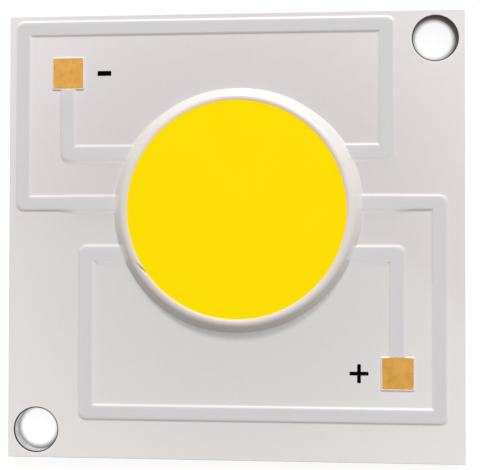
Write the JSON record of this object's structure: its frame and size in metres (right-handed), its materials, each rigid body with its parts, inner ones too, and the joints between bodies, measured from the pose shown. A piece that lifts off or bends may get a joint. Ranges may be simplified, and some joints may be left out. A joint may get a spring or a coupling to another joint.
{
  "type": "chip-on-board led module",
  "caption": "Flat metal-core LED board with a round phosphor light source in a white ring, screw holes and gold solder pads.",
  "frame": {"origin": "centre of the board's flat back face", "axes": "+Z out of the board, the way the light leaves; +X along the upper edge to the right and +Y up the left edge, seen from the light side with the minus pad at the upper left"},
  "size_m": [0.028, 0.0274, 0.0017],
  "materials": {
    "aluminium_core": "rolled, matt, with sheared edges",
    "dielectric": "filled resin, pale",
    "copper": "etched copper foil",
    "solder_mask": "white film with a soft sheen",
    "gold_plating": "matt electroless nickel and gold",
    "marking_ink": "black legend ink",
    "dam_silicone": "white silicone with a wet sheen",
    "phosphor": "yellow phosphor in clear silicone, smooth",
    "die_adhesive": "silver filled adhesive",
    "emitter_chip": "sapphire chip with thin metal contacts",
    "bond_wire": "drawn gold"
  },
  "bodies": {
    "root": {"base_plate": "aluminium_core", "dielectric_layer": "dielectric", "trace_negative": "copper", "trace_link_upper": "copper", "trace_link_lower": "copper", "trace_positive": "copper", "solder_mask": "solder_mask", "pad_plating_negative": "gold_plating", "pad_plating_positive": "gold_plating", "mark_minus": "marking_ink", "mark_plus": "marking_ink", "dam_ring": "dam_silicone", "phosphor_fill": "phosphor", "land_plating_left_upper": "gold_plating", "land_plating_left_middle": "gold_plating", "land_plating_left_lower": "gold_plating", "land_plating_right_upper": "gold_plating", "land_plating_right_middle": "gold_plating", "land_plating_right_lower": "gold_plating", "die_attach_upper": "die_adhesive", "led_dies_upper": "emitter_chip", "bond_wires_upper": "bond_wire", "die_attach_middle": "die_adhesive", "led_dies_middle": "emitter_chip", "bond_wires_middle": "bond_wire", "die_attach_lower": "die_adhesive", "led_dies_lower": "emitter_chip", "bond_wires_lower": "bond_wire"}
  },
  "joints": []
}
